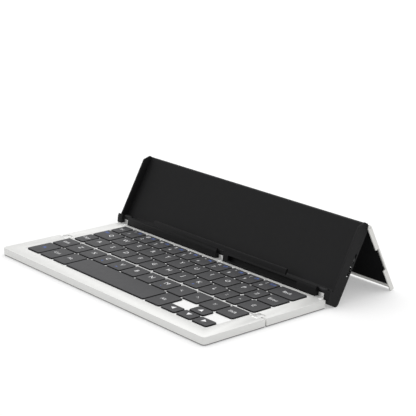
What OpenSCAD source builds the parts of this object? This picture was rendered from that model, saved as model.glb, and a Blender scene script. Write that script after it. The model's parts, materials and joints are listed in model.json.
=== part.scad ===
// Folding tablet keyboard: two hinged key panels, a tablet tray and a folding kickstand.
// Millimetres, +Z up. Origin: middle of the footprint, on the desk. +X runs along the keys to
// the right, +Y from the typist to the stand. Drawn open, ready to type.

/* [Panels] */
// Length of both key panels
panel_len = 250; // [235:1:265]
// Depth of the front panel
front_depth = 57.1; // [54:0.1:60]
// Depth of the middle panel
middle_depth = 59.7; // [57:0.1:63]
// Gap between the two panels when open
fold_gap = 1.2; // [0.8:0.1:1.6]
// Step of the middle panel's left end behind the front panel's
left_step = 2.0; // [1.0:0.1:2.5]
// Thickness of an aluminium panel frame with its cover
panel_thick = 6.1; // [5.8:0.1:6.6]
// Height of the rubber feet below a panel
foot_h = 0.5; // [0.3:0.1:0.8]
// Thickness of the bottom cover sheets
cover_t = 0.6; // [0.4:0.1:0.8]
// Radius of the panels' outer corners
corner_r = 3.0; // [1.5:0.5:4]
// Depth of the frame's front bar
front_bar = 12.9; // [11:0.1:13]
// Depth of the frame's back bar
back_bar = 3.1; // [2.8:0.1:3.2]
// Width of the front panel's end blocks
end_block = 13.2; // [12.9:0.1:13.3]

/* [Keys] */
// Depth of the key web below the frame's top
web_drop = 0.4; // [0.3:0.1:0.6]
// Thickness of the key web
web_t = 1.2; // [1.0:0.1:1.3]
// Height of the key tops above the frame's top
key_proud = 0.8; // [0.6:0.1:0.9]
// Clearance round each keycap in the web
key_fit = 0.3; // [0.25:0.01:0.35]
// Reach of the keycap's skirt under the web, past the hole
skirt_reach = 0.3; // [0.2:0.05:0.35]
// Thickness of the keycap's skirt
skirt_t = 0.8; // [0.6:0.1:0.9]
// Width of the step round the keycap's top
cap_step = 0.35; // [0.2:0.05:0.5]
// Corner radius of a keycap
cap_r = 1.6; // [1.2:0.1:2.0]
// Length of the plunger below a keycap
plunger_h = 0.4; // [0.3:0.1:0.5]
// Travel of a key
key_travel = 1.2; // [1.0:0.1:1.2]
// Gap between neighbouring keys
key_gap = 1.6; // [1.55:0.05:1.7]

/* [Fold hinge] */
// Distance of each fold pin from the middle of the fold
pin_off = 2.8; // [2.8:0.05:3.0]
// Depth of the fold pins below the frame's top
pin_deep = 1.7; // [1.65:0.05:1.7]
// Radius of the fold pins
fold_pin_r = 0.8; // [0.7:0.05:0.9]
// Running clearance round a pin
pin_run = 0.05; // [0.03:0.01:0.08]
// Radius of a link's ends
link_r = 1.6; // [1.5:0.05:1.65]
// Width of a fold link
link_w = 6.4; // [5.8:0.1:6.6]
// Clearance round a link in its slot
link_fit = 0.25; // [0.2:0.05:0.35]
// Distance of a link's middle from the panel's end
link_x = 8.0; // [7.6:0.1:8.2]

/* [Tray] */
// Lean of the tray's back from level
lean = 61.5; // [58:0.5:64]
// Distance of the tray's hinge axis behind the middle panel
axis_back = 5.6; // [5.4:0.1:6]
// Height of the tray's hinge axis
axis_z = 10.9; // [10.6:0.1:11.1]
// Length of the tray above its hinge axis
tray_up = 57.5; // [54:0.5:62]
// Depth of the tray's back face behind the axis
tray_back = 9.2; // [9.0:0.1:9.6]
// Depth of the tray's front wall behind the axis
tray_front = 5.0; // [4.8:0.1:5.1]
// Wall thickness of the tray's clamshell
shell_t = 0.8; // [0.7:0.05:0.9]
// Depth of the clamshell's seam behind the axis
seam_v = 6.6; // [6.4:0.1:6.8]
// Reach of the end cheeks in front of the axis
cheek_v = 1.5; // [1.0:0.1:2.0]
// Thickness of an end cheek
cheek_t = 1.6; // [1.4:0.1:1.8]
// Clearance between a cheek and the folded panels
cheek_fit = 0.4; // [0.3:0.05:0.5]
// Height of the ledge above the axis
ledge_u = 1.0; // [0.8:0.1:1.2]
// Height of the lip above the ledge
lip_h = 4.5; // [4.0:0.1:4.8]
// Thickness of the lip
lip_t = 1.6; // [1.4:0.1:1.8]
// Width of the slot that holds the tablet
slot_w = 7.5; // [7.3:0.1:7.6]
// Left end of the lip
lip_x0 = 45; // [40:1:60]
// Right end of the lip
lip_x1 = 204; // [190:1:210]
// Radius of the hinge eyes
eye_r = 2.0; // [1.8:0.05:2.1]
// Radius of the tray's hinge pins
tray_pin_r = 0.9; // [0.8:0.05:1.0]
// Width of a hinge arm
arm_w = 8.0; // [7:0.1:8.4]
// Thickness of a hinge arm
arm_t = 1.6; // [1.4:0.05:1.7]
// Place of the middle hinge arm along the panel
mid_arm_x = 131; // [125:1:135]
// Length of the battery
battery_len = 124; // [100:1:124]
// Left end of the battery
battery_x0 = 26; // [20:1:26]
// Left end of the finger recess
recess_x0 = 141; // [140:1:160]

/* [Kickstand] */
// Height of the kickstand's pins above the tray's axis
kick_u = 55.2; // [54.8:0.1:55.4]
// Depth of the kickstand's pins behind the tray's axis
kick_v = 8.9; // [8.8:0.1:9.0]
// Radius of the flange round a pin
kick_r = 1.9; // [1.8:0.05:2.0]
// Length of the kickstand from its pins
kick_len = 62; // [60:0.5:63]
// Thickness of the kickstand's sheet
kick_t = 1.0; // [0.8:0.1:1.1]
// Depth of the kickstand's flanges
flange_d = 3.8; // [3.4:0.1:4.0]
// Clearance between a flange and the tray's end
flange_fit = 0.3; // [0.25:0.05:0.4]
// Radius of the kickstand's pins
kick_pin_r = 0.7; // [0.6:0.05:0.8]

/* [Hidden] */
$fn = 48;
eps = 0.01;
deck = front_depth + fold_gap + middle_depth;
fold_y = front_depth + fold_gap / 2;
z0 = foot_h;
zc = z0 + cover_t;
zt = foot_h + panel_thick;
web_top = zt - web_drop;
web_bot = web_top - web_t;
cap_top = zt + key_proud;
pin_z = zt - pin_deep;
mid_y0 = front_depth + fold_gap;
ax_y = deck + axis_back;
ax_z = axis_z;
foot_r = 3;
// the tray's rounded foot and the kickstand's flanges both reach the desk
tray_down = foot_r + (axis_z - foot_r - 0.02 - cos(lean) * (tray_back - foot_r)) / sin(lean);
kick_pz = axis_z + kick_u * sin(lean) - kick_v * cos(lean);
kick_a = kick_len - 0.4;
kick_b = flange_d - kick_r;
kick_drop = asin((kick_pz - 0.02) / sqrt(kick_a * kick_a + kick_b * kick_b))
  - atan(kick_b / kick_a);
kick_open = 180 - lean - kick_drop;
kick_py = ax_y + kick_u * cos(lean) + kick_v * sin(lean);
back_y = kick_py + cos(kick_drop) * (kick_len - kick_t / 2)
  + sin(kick_drop) * (kick_r - kick_t / 2) + kick_t / 2;
y_off = -back_y / 2;
x_off = -panel_len / 2;
arm_seat = 2.2;
knob_u = 30;
usb_u = 19.5;
// Key rows, front to back: y of the front edge, depth
row4_depth = 17.4;
fold_margin = 1.1;
bar_margin = 1.3;
row5 = [front_bar + bar_margin,
  front_depth - fold_margin - row4_depth - key_gap - front_bar - bar_margin];
row4 = [row5[0] + row5[1] + key_gap, row4_depth];
row_mean = (middle_depth - back_bar - fold_margin - bar_margin - 2 * key_gap) / 3;
row3 = [mid_y0 + fold_margin, row_mean + 0.6];
row2 = [row3[0] + row3[1] + key_gap, row_mean + 0.2];
row1 = [row2[0] + row2[1] + key_gap, row_mean - 0.8];
left_edge = end_block + key_gap;
left_edge_m = left_step + end_block + bar_margin;
right_edge = panel_len - 14.4;
well_r = right_edge + 1.2;
pitch2 = 18.0;
pitch3 = 17.95;
pitch4 = 18.45;
arm_xs = [link_x, mid_arm_x, panel_len - link_x];
// Room in the tray: inner margins, battery and board
room_x0 = 16;
room_u0 = 6;
room_u1 = tray_up - 7;
pack_u0 = room_u0 + 4;
pack_u1 = room_u1 - 4.5;
screw_r = 1.1;
screw_h = 0.5;
pin_grip = 3.6;
board_gap = 10;
board_end = 6;
board_t = 0.6;
board_v = -tray_front - shell_t - board_t;
post_w = 2.6;
arm_fit = 0.3;
boss_w = 4;

// Solid along X from x0 to x1 with the profile pts in (Y, Z)
module along(x0, x1) {
  translate([x0, 0, 0]) rotate([90, 0, 90]) linear_extrude(height = x1 - x0) children();
}
// Places a piece drawn in tray coordinates: Y up the tray, Z out of its front
module in_tray() { translate([0, ax_y, ax_z]) rotate([lean, 0, 0]) children(); }
// Places a piece drawn in kickstand coordinates: Y from the pins to the foot, Z outwards
module in_kick() {
  in_tray() translate([0, kick_u, -kick_v]) rotate([kick_open, 0, 0]) rotate([180, 0, 0])
    children();
}
// Moves everything to the shared origin
module placed() { translate([x_off, y_off, 0]) children(); }
// Flat plate with rounded corners
module plate_r(x0, y0, x1, y1, r) {
  union() {
    translate([x0 + r, y0]) square([x1 - x0 - 2 * r, y1 - y0]);
    translate([x0, y0 + r]) square([x1 - x0, y1 - y0 - 2 * r]);
    for (x = [x0 + r, x1 - r]) for (y = [y0 + r, y1 - r]) translate([x, y]) circle(r);
  }
}
module slab_r(x0, y0, z0, x1, y1, z1, r) {
  translate([0, 0, z0]) linear_extrude(height = z1 - z0) plate_r(x0, y0, x1, y1, r);
}
module slab(x0, y0, z0, x1, y1, z1) {
  translate([x0, y0, z0]) cube([x1 - x0, y1 - y0, z1 - z0]);
}
// Panel outline: rounded at its outer edge, square at the fold
module front_outline(g) {
  union() {
    plate_r(g, g, panel_len - g, front_depth - g, corner_r);
    translate([g, fold_y / 2]) square([panel_len - 2 * g, front_depth - g - fold_y / 2]);
  }
}
module middle_outline(g) {
  union() {
    plate_r(left_step + g, mid_y0 + g, panel_len - g, deck - g, 1);
    translate([left_step + g, mid_y0 + g]) square([panel_len - left_step - 2 * g, 20]);
  }
}
// One keycap: skirt under the web, body, stepped top and plunger
module cap(x0, y0, w, d) {
  k = key_fit + skirt_reach;
  union() {
    slab_r(x0 - k, y0 - k, web_bot - skirt_t, x0 + w + k, y0 + d + k, web_bot, cap_r + k);
    slab_r(x0, y0, web_bot - eps, x0 + w, y0 + d, cap_top - 0.5, cap_r);
    slab_r(x0 + cap_step, y0 + cap_step, cap_top - 0.51, x0 + w - cap_step,
      y0 + d - cap_step, cap_top, cap_r);
    translate([x0 + w / 2, y0 + d / 2, web_bot - skirt_t - plunger_h])
      cylinder(r = 2, h = plunger_h + eps);
  }
}
module hole(x0, y0, w, d) {
  f = key_fit;
  slab_r(x0 - f, y0 - f, web_bot - 1, x0 + w + f, y0 + d + f, web_top + 1, cap_r + f);
}
module spot(kind, x0, y0, w, d) { if (kind == 0) cap(x0, y0, w, d); else hole(x0, y0, w, d); }
// Keys of each row: kind 0 draws caps, kind 1 draws holes
w1 = pitch3 - key_gap;
w2 = pitch2 - key_gap;
w4 = pitch4 - key_gap;
x1s = 29.7;
x2s = 41.4;
x3s = 30.6;
x4s = 33.0;
mod_w = 16.2;
alt_w = 16.8;
arrow_w = 15.5;
arrow_x = right_edge - 3 * arrow_w - 2 * key_gap;
alt_x = arrow_x - key_gap - alt_w;
space_x = x4s + 2 * (mod_w + key_gap);
module number_row(kind) {
  spot(kind, left_edge_m, row1[0], x1s - key_gap - left_edge_m, row1[1]);
  for (i = [0 : 9]) spot(kind, x1s + i * pitch3, row1[0], w1, row1[1]);
  spot(kind, x1s + 10 * pitch3, row1[0], right_edge - x1s - 10 * pitch3, row1[1]);
}
module middle_side(kind) {
  s2 = x2s + 9 * pitch2;
  h2 = (right_edge - s2 - key_gap) * 0.4;
  spot(kind, s2, row2[0], h2, row2[1]);
  spot(kind, s2 + h2 + key_gap, row2[0], right_edge - s2 - h2 - key_gap, row2[1]);
  s3 = x3s + 9 * pitch3;
  h3 = (right_edge - s3 - 2 * key_gap) * 0.27;
  spot(kind, left_edge_m, row3[0], x3s - key_gap - left_edge_m, row3[1]);
  spot(kind, s3, row3[0], h3, row3[1]);
  spot(kind, s3 + h3 + key_gap, row3[0], h3, row3[1]);
  spot(kind, s3 + 2 * (h3 + key_gap), row3[0], right_edge - s3 - 2 * (h3 + key_gap), row3[1]);
}
module front_side(kind) {
  spot(kind, left_edge, row4[0], x4s - key_gap - left_edge, row4[1]);
  for (i = [7 : 9]) spot(kind, x4s + i * pitch4, row4[0], w4, row4[1]);
  spot(kind, x4s + 10 * pitch4, row4[0], right_edge - x4s - 10 * pitch4, row4[1]);
  spot(kind, left_edge, row5[0], x4s - key_gap - left_edge, row5[1]);
  for (i = [0 : 1]) spot(kind, x4s + i * (mod_w + key_gap), row5[0], mod_w, row5[1]);
  spot(kind, alt_x, row5[0], alt_w, row5[1]);
}
module arrows(kind) {
  d = (row5[1] - key_gap) / 2;
  px = arrow_w + key_gap;
  spot(kind, arrow_x, row5[0], arrow_w, d);
  spot(kind, arrow_x + px, row5[0], arrow_w, d);
  spot(kind, arrow_x + px, row5[0] + d + key_gap, arrow_w, d);
  spot(kind, arrow_x + 2 * px, row5[0], arrow_w, d);
}
module letter2(kind, i) {
  if (i == 0) spot(kind, left_edge_m, row2[0], x2s - key_gap - left_edge_m, row2[1]);
  else spot(kind, x2s + (i - 1) * pitch2, row2[0], w2, row2[1]);
}
module letter3(kind, i) { spot(kind, x3s + i * pitch3, row3[0], w1, row3[1]); }
module letter4(kind, i) { spot(kind, x4s + i * pitch4, row4[0], w4, row4[1]); }
module space_bar(kind) { spot(kind, space_x, row5[0], alt_x - key_gap - space_x, row5[1]); }
module key(row, i) {
  color("dimgray") placed() {
    if (row == 2) letter2(0, i);
    if (row == 3) letter3(0, i);
    if (row == 4) letter4(0, i);
  }
}

// Slot for a fold link and bores for its pin, at panel end x on pin line y
module link_slot(x, y) {
  hw = link_w / 2 + link_fit;
  union() {
    along(x - hw, x + hw) translate([y, pin_z]) circle(link_r + link_fit);
    slab(x - hw, y - link_r - link_fit, pin_z, x + hw, y + link_r + link_fit, zt + 1);
    slab(x - hw, min(y, fold_y), pin_z - link_r - link_fit, x + hw, max(y, fold_y), zt + 1);
    along(x - hw - 1.2, x + hw + 1.2) translate([y, pin_z]) circle(fold_pin_r);
  }
}
link_xs = [link_x, panel_len - link_x];

module middle_frame() {
  color("silver") placed() difference() {
    translate([0, 0, zc]) linear_extrude(height = zt - zc) middle_outline(0);
    // well for the web, open at the fold, on a ledge over the switch board's room
    slab(left_step + end_block, mid_y0 - 1, web_bot, well_r, deck - back_bar, zt + 1);
    slab(left_step + end_block + 0.5, mid_y0 - 1, zc - 1, well_r - 0.45,
      deck - back_bar - 0.3, web_bot + eps);
    for (x = link_xs) link_slot(x, fold_y + pin_off);
    // seats for the hinge arms, flush with the top
    for (x = arm_xs) slab(x - arm_w / 2, deck - arm_seat, zt - arm_t, x + arm_w / 2,
      deck + 1, zt + 1);
    // eased edge at the fold
    along(0, panel_len) translate([mid_y0, zt]) rotate(45) square([0.7, 0.7], center = true);
  }
}
module middle_bottom_cover() {
  color("black") placed() translate([0, 0, z0]) linear_extrude(height = cover_t)
    middle_outline(0.3);
}
module middle_key_web() {
  color("whitesmoke") placed() difference() {
    slab(left_step + end_block, mid_y0, web_bot, well_r, deck - back_bar, web_top);
    number_row(1);
    middle_side(1);
    for (i = [0 : 9]) letter2(1, i);
    for (i = [0 : 8]) letter3(1, i);
  }
}
module middle_switch_board() {
  color("darkgreen") placed()
    slab(left_step + end_block + 1.2, mid_y0 + 0.6, zc, well_r - 1.2, deck - back_bar - 1, zc + 0.8);
}
module foot_pad(x, y) { translate([x, y, 0]) cylinder(r = 3, h = foot_h); }
module middle_feet() {
  color("black") placed() for (x = [24, panel_len - 24]) for (y = [mid_y0 + 7, deck - 8])
    foot_pad(x, y);
}
module front_frame() {
  color("silver") placed() difference() {
    translate([0, 0, zc]) linear_extrude(height = zt - zc) front_outline(0);
    slab(end_block, front_bar, web_bot, well_r, front_depth + 1, zt + 1);
    slab(end_block + 0.7, front_bar + 0.4, zc - 1, well_r - 0.45, front_depth + 1,
      web_bot + eps);
    for (x = link_xs) link_slot(x, fold_y - pin_off);
    along(0, panel_len) translate([front_depth, zt]) rotate(45)
      square([0.7, 0.7], center = true);
  }
}
module front_bottom_cover() {
  color("black") placed() translate([0, 0, z0]) linear_extrude(height = cover_t)
    front_outline(0.3);
}
module front_key_web() {
  color("whitesmoke") placed() difference() {
    slab(end_block, front_bar, web_bot, well_r, front_depth, web_top);
    front_side(1);
    arrows(1);
    space_bar(1);
    for (i = [0 : 6]) letter4(1, i);
  }
}
module front_switch_board() {
  color("darkgreen") placed()
    slab(end_block + 1.2, front_bar + 1, zc, well_r - 1.2, front_depth - 0.6, zc + 0.8);
}
module front_feet() {
  color("black") placed() for (x = [24, panel_len - 24]) for (y = [8, front_depth - 7])
    foot_pad(x, y);
}
module fold_links() {
  color("silver") placed() for (x = link_xs) difference() {
    union() {
      along(x - link_w / 2, x + link_w / 2) union() {
        translate([fold_y - pin_off, pin_z]) circle(link_r);
        translate([fold_y + pin_off, pin_z]) circle(link_r);
        translate([fold_y - pin_off, pin_z - link_r]) square([2 * pin_off, 2 * link_r]);
      }
    }
    along(x - link_w, x + link_w) union() {
      translate([fold_y - pin_off, pin_z]) circle(fold_pin_r + pin_run);
      translate([fold_y + pin_off, pin_z]) circle(fold_pin_r + pin_run);
    }
  }
}
module fold_pin(x, y) {
  hw = link_w / 2 + link_fit + 1.2;
  along(x - hw, x + hw) translate([y, pin_z]) circle(fold_pin_r);
}
module fold_pins_middle() {
  color("gray") placed() for (x = link_xs) fold_pin(x, fold_y + pin_off);
}
module fold_pins_front() {
  color("gray") placed() for (x = link_xs) fold_pin(x, fold_y - pin_off);
}

// Hinge arm: flush plate on the middle panel with a post under the tray's axis
module stand_hinge_arms() {
  color("whitesmoke") placed() for (x = arm_xs) along(x - arm_w / 2, x + arm_w / 2) difference() {
    union() {
      translate([deck - arm_seat, zt - arm_t])
        square([axis_back + arm_seat + post_w / 2, arm_t]);
      translate([ax_y - post_w / 2, zt - arm_t]) square([post_w, ax_z - zt + arm_t]);
    }
    translate([ax_y, ax_z]) circle(eye_r);
  }
}
// Dark eye on each post, bored for the tray's pin
module stand_hinge_knuckles() {
  color("dimgray") placed() for (x = arm_xs) along(x - arm_w / 2, x + arm_w / 2)
    translate([ax_y, ax_z]) difference() {
      circle(eye_r);
      circle(tray_pin_r);
    }
}
pin_half = arm_w / 2 + 4.6;
module stand_hinge_pins() {
  color("gray") placed() for (x = arm_xs) along(x - pin_half, x + pin_half)
    translate([ax_y, ax_z]) circle(tray_pin_r);
}

// Tray profile in tray coordinates, spine and plate in one outline
tu = tray_up;
td = tray_down;
module tray_profile() {
  r = 3;
  difference() {
    union() {
      polygon([[-td + r, -tray_back], [tu - 1.5, -tray_back], [tu, -tray_back + 1.5],
        [tu, -tray_front - 1.2], [tu - 1.2, -tray_front], [ledge_u + 2, -tray_front],
        [ledge_u, -tray_front + 2], [ledge_u, slot_w - tray_front + lip_t],
        [-1.2, slot_w - tray_front + lip_t], [-6.0, 2.2], [-td, -2], [-td, -tray_back + r]]);
      translate([-td + r, -tray_back + r]) circle(r);
    }
    translate([kick_u, -kick_v]) circle(kick_r + 0.3);
    translate([kick_u - 2.2, -tray_back - 1]) square([10, tray_back - kick_v + 1]);
    translate([kick_u, -tray_back - 1]) square([10, tray_back - kick_v + 1 + kick_r + 0.3]);
  }
}
module cheek_profile() {
  union() {
    difference() {
      polygon([[-td + 3, -tray_back], [tu - 1.5, -tray_back], [tu, -tray_back + 1.5],
        [tu, cheek_v - 5], [tu - 5, cheek_v], [-5.4, cheek_v], [-td, -2],
        [-td, -tray_back + 3]]);
      translate([kick_u, -kick_v]) circle(kick_r + 0.3);
      translate([kick_u, -tray_back - 1]) square([10, tray_back - kick_v + 1 + kick_r + 0.3]);
    }
    translate([-td + 3, -tray_back + 3]) circle(3);
  }
}
tx0 = -cheek_fit - cheek_t;
tx1 = panel_len + cheek_fit + cheek_t;
module tray_blank() {
  union() {
    along(tx0, tx1) tray_profile();
    along(tx0, -cheek_fit) cheek_profile();
    along(panel_len + cheek_fit, tx1) cheek_profile();
    // bosses that carry the kickstand's pins
    for (x = [tx0, tx1 - boss_w]) along(x, x + boss_w) intersection() {
      translate([kick_u, -kick_v]) circle(kick_r);
      translate([kick_u - 5, -tray_back]) square([10, 10]);
    }
    for (x = [tx0, tx1 - boss_w]) along(x, x + boss_w)
      translate([kick_u - 3, -tray_back + 1]) square([4.8, 3]);
  }
}
// Room that a hinge arm sweeps inside the tray, from open to closed
module arm_room(x) {
  hw = arm_w / 2 + arm_fit;
  a0 = 98;
  a1 = 224;
  ro = 7.2;
  along(x - hw, x + hw) union() {
    circle(eye_r + arm_fit);
    // the post as it stands when the tray is open
    rotate(270 - lean) translate([0, -post_w / 2 - arm_fit]) square([ro, post_w + 2 * arm_fit]);
    intersection() {
      circle(ro);
      polygon([[0, 0], [20 * cos(a0), 20 * sin(a0)], [20 * cos(140), 20 * sin(140)],
        [20 * cos(182), 20 * sin(182)], [20 * cos(a1), 20 * sin(a1)]]);
    }
    polygon([[-1.7, 0], [1.75, 0], [1.75, 12], [-1.7, 12]]);
    translate([0, 4.15]) square([12, 12]);
  }
}
module tray_cuts() {
  // room for the battery and the controller board
  slab(room_x0, room_u0, -tray_back + shell_t, panel_len - 3, room_u1, -tray_front - shell_t);
  for (x = arm_xs) {
    arm_room(x);
    along(x - pin_half - 0.2, x + pin_half + 0.2) circle(tray_pin_r + pin_run);
  }
  // long finger recess in the spine
  along(recess_x0, panel_len - 32) polygon([[-4.6, -0.5], [-0.6, -0.5], [-0.6, 12], [-4.6, 12]]);
  // mouth for the USB plug and slot for the switch knob
  slab(panel_len - 4, usb_u - 4, -tray_back + 1.1, tx1 + 1, usb_u + 4, -tray_back + 3.4);
  slab(panel_len - 4, knob_u - 3.6, -tray_back + 1.2, tx1 + 1, knob_u + 3.6, -tray_back + 2.8);
  // seats for the kickstand's pins
  for (x = [tx0 - 1, tx1 - pin_grip]) along(x, x + pin_grip + 1) translate([kick_u, -kick_v])
    circle(kick_pin_r);
}
module tray_shell() {
  color("dimgray") placed() in_tray() difference() {
    intersection() {
      tray_blank();
      slab(tx0 - 1, -40, -seam_v, tx1 + 1, 90, 40);
    }
    tray_cuts();
  }
}
module tray_back_cover() {
  color("dimgray") placed() in_tray() difference() {
    intersection() {
      tray_blank();
      slab(tx0 - 1, -40, -40, tx1 + 1, 90, -seam_v);
    }
    tray_cuts();
    for (p = screw_spots) translate([p[0], p[1], -tray_back - 1])
      cylinder(r = screw_r, h = screw_h + 1);
  }
}
low_screw_x = 60;
low_screw_u = 3.2;
screw_spots = [[9, pack_u0], [9, pack_u1 - 2], [panel_len / 2, low_screw_u],
  [low_screw_x, low_screw_u], [panel_len - low_screw_x, low_screw_u]];
module cover_screws() {
  color("gray") placed() in_tray() for (p = screw_spots)
    translate([p[0], p[1], -tray_back]) cylinder(r = screw_r, h = screw_h);
}
module tablet_lip() {
  v0 = slot_w - tray_front;
  color("dimgray") placed() in_tray() difference() {
    along(lip_x0, lip_x1) union() {
      translate([ledge_u, v0]) square([lip_h - lip_t / 2, lip_t]);
      translate([ledge_u + lip_h - lip_t / 2, v0 + lip_t / 2]) circle(lip_t / 2);
    }
    along(arm_xs[1] - arm_w / 2 - 0.3, arm_xs[1] + arm_w / 2 + 0.3)
      translate([-1, v0 - 1]) square([2.75, lip_t + 2]);
  }
}
module battery() {
  color("slategray") placed() in_tray()
    slab_r(battery_x0, pack_u0, -tray_back + shell_t, battery_x0 + battery_len, pack_u1,
      -tray_front - shell_t - 0.2, 1);
}
module controller_board() {
  color("darkgreen") placed() in_tray()
    slab(battery_x0 + battery_len + board_gap, pack_u0, board_v, panel_len - board_end, pack_u1,
      board_v + board_t);
}
module usb_socket() {
  color("silver") placed() in_tray() difference() {
    slab(panel_len - 3.9, usb_u - 3.9, -tray_back + 1.15, tx1 - 0.4, usb_u + 3.9,
      -tray_back + 3.35);
    slab(panel_len - 2, usb_u - 3.5, -tray_back + 1.5, tx1, usb_u + 3.5, -tray_back + 3.0);
  }
}
module power_switch_body() {
  color("black") placed() in_tray()
    slab(panel_len - 8, knob_u - 4, -tray_back + shell_t, panel_len - 4.2, knob_u + 4, board_v);
}
module power_switch_knob() {
  color("black") placed() in_tray() union() {
    slab(panel_len - 4.2, knob_u - 3.4, -tray_back + 1.3, tx1 - 0.5, knob_u + 0.9,
      -tray_back + 2.7);
    slab(tx1 - 0.6, knob_u - 2.2, -tray_back + 1.3, tx1 - 0.1, knob_u - 0.3, -tray_back + 2.7);
  }
}

// Kickstand: sheet with two flanges, drawn from its pins to its foot
fx0 = tx0 - flange_fit - kick_t;
fx1 = tx1 + flange_fit + kick_t;
module kickstand_plate() {
  color("silver") placed() in_kick() difference() {
    union() {
      slab(fx0, -0.6, kick_r - kick_t, fx1, kick_len - kick_t / 2, kick_r);
      along(fx0, fx1) translate([kick_len - kick_t / 2, kick_r - kick_t / 2]) circle(kick_t / 2);
      for (x = [fx0, fx1 - kick_t]) along(x, x + kick_t) union() {
        circle(kick_r);
        translate([0, kick_r - flange_d]) square([kick_len - 1.2, flange_d]);
        translate([kick_len - 1.2, kick_r - 1.2]) circle(1.2);
        translate([kick_len - 1.2, kick_r - flange_d]) square([0.8, flange_d - 1.2]);
      }
    }
    for (x = [fx0 - 1, fx1 - kick_t - 1]) along(x, x + kick_t + 2)
      circle(kick_pin_r + pin_run);
    // relief round the bosses that carry the pins
    for (x = [tx0 - flange_fit, tx1 - boss_w - flange_fit]) along(x, x + boss_w + 2 * flange_fit)
      translate([-5, -5]) square([5 + kick_r + flange_fit + 0.1, 10]);
    // notch that clears the switch and the USB plug when the stand is folded away
    slab(fx1 - kick_t - 1, kick_u - knob_u - 4.5, -5, fx1 + 1, kick_u - usb_u + 5.5,
      kick_r - kick_t - 0.2);
  }
}
module kickstand_lining() {
  color("black") placed() in_kick()
    slab(fx0 + kick_t + 1.0, 4, kick_r - kick_t - 0.4, fx1 - kick_t - 1.0, kick_len - 4,
      kick_r - kick_t);
}
module kickstand_pins() {
  color("gray") placed() in_tray() for (x = [fx0, tx1 - pin_grip])
    along(x, x + pin_grip + flange_fit + kick_t) translate([kick_u, -kick_v]) circle(kick_pin_r);
}
module key_space() { color("dimgray") placed() space_bar(0); }
module number_row_keys() { color("dimgray") placed() number_row(0); }
module middle_side_keys() { color("dimgray") placed() middle_side(0); }
module front_side_keys() { color("dimgray") placed() front_side(0); }
module arrow_keys() { color("dimgray") placed() arrows(0); }

middle_frame();
middle_bottom_cover();
middle_key_web();
middle_switch_board();
middle_feet();
stand_hinge_arms();
stand_hinge_knuckles();
stand_hinge_pins();
front_frame();
front_bottom_cover();
front_key_web();
front_switch_board();
front_feet();
fold_links();
fold_pins_middle();
fold_pins_front();
tray_shell();
tray_back_cover();
tablet_lip();
battery();
controller_board();
usb_socket();
power_switch_body();
power_switch_knob();
cover_screws();
kickstand_pins();
kickstand_plate();
kickstand_lining();
key_space();
number_row_keys();
middle_side_keys();
front_side_keys();
arrow_keys();
key(2, 0);  // key_q
key(2, 1);  // key_w
key(2, 2);  // key_e
key(2, 3);  // key_r
key(2, 4);  // key_t
key(2, 5);  // key_y
key(2, 6);  // key_u
key(2, 7);  // key_i
key(2, 8);  // key_o
key(2, 9);  // key_p
key(3, 0);  // key_a
key(3, 1);  // key_s
key(3, 2);  // key_d
key(3, 3);  // key_f
key(3, 4);  // key_g
key(3, 5);  // key_h
key(3, 6);  // key_j
key(3, 7);  // key_k
key(3, 8);  // key_l
key(4, 0);  // key_z
key(4, 1);  // key_x
key(4, 2);  // key_c
key(4, 3);  // key_v
key(4, 4);  // key_b
key(4, 5);  // key_n
key(4, 6);  // key_m
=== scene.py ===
"""Looks of a folding keyboard with a hinged tray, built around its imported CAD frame.

Everything is in metres in the CAD frame: +X runs along the keys to the typist's right, +Y from
the typist to the stand, +Z up, with the origin at the middle of the footprint on the desk.
"""
import json
import logging
import math
from dataclasses import dataclass, field
from enum import Enum
from typing import Callable, Iterable, Sequence

import bmesh
import bpy
from mathutils import Matrix, Vector


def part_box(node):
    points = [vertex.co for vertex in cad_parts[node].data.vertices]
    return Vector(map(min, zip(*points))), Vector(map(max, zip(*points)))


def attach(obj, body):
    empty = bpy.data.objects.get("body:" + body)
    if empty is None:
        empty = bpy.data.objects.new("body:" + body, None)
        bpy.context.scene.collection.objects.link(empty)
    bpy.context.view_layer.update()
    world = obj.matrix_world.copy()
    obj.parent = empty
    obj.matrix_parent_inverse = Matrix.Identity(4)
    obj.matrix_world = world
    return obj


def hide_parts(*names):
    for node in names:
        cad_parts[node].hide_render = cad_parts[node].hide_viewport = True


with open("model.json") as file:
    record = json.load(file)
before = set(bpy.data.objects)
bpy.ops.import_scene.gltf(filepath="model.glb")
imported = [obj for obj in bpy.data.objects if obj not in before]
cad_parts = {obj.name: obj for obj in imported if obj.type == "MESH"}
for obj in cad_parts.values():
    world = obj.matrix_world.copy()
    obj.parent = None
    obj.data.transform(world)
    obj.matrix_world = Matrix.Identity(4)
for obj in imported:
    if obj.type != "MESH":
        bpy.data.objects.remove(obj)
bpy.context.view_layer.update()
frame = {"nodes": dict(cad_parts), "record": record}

log = logging.getLogger("keyboard")
MM = 0.001
PHOTO_SIZE = 416
SENSOR_MM = 36.0
LEAN = math.radians(61.5)
OUT_OF_TRAY = Vector((0.0, math.sin(LEAN), -math.cos(LEAN)))
Colour = tuple[float, float, float]

# Places of the colour sockets on a Mix node
MIX_A = 6
MIX_B = 7
MIX_RESULT = 2

# Limits for work on copies of CAD meshes
WELD_M = 2e-6
FLAT_DEG = 0.4
SHARP_DEG = 30.0


# Shader groups

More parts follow.
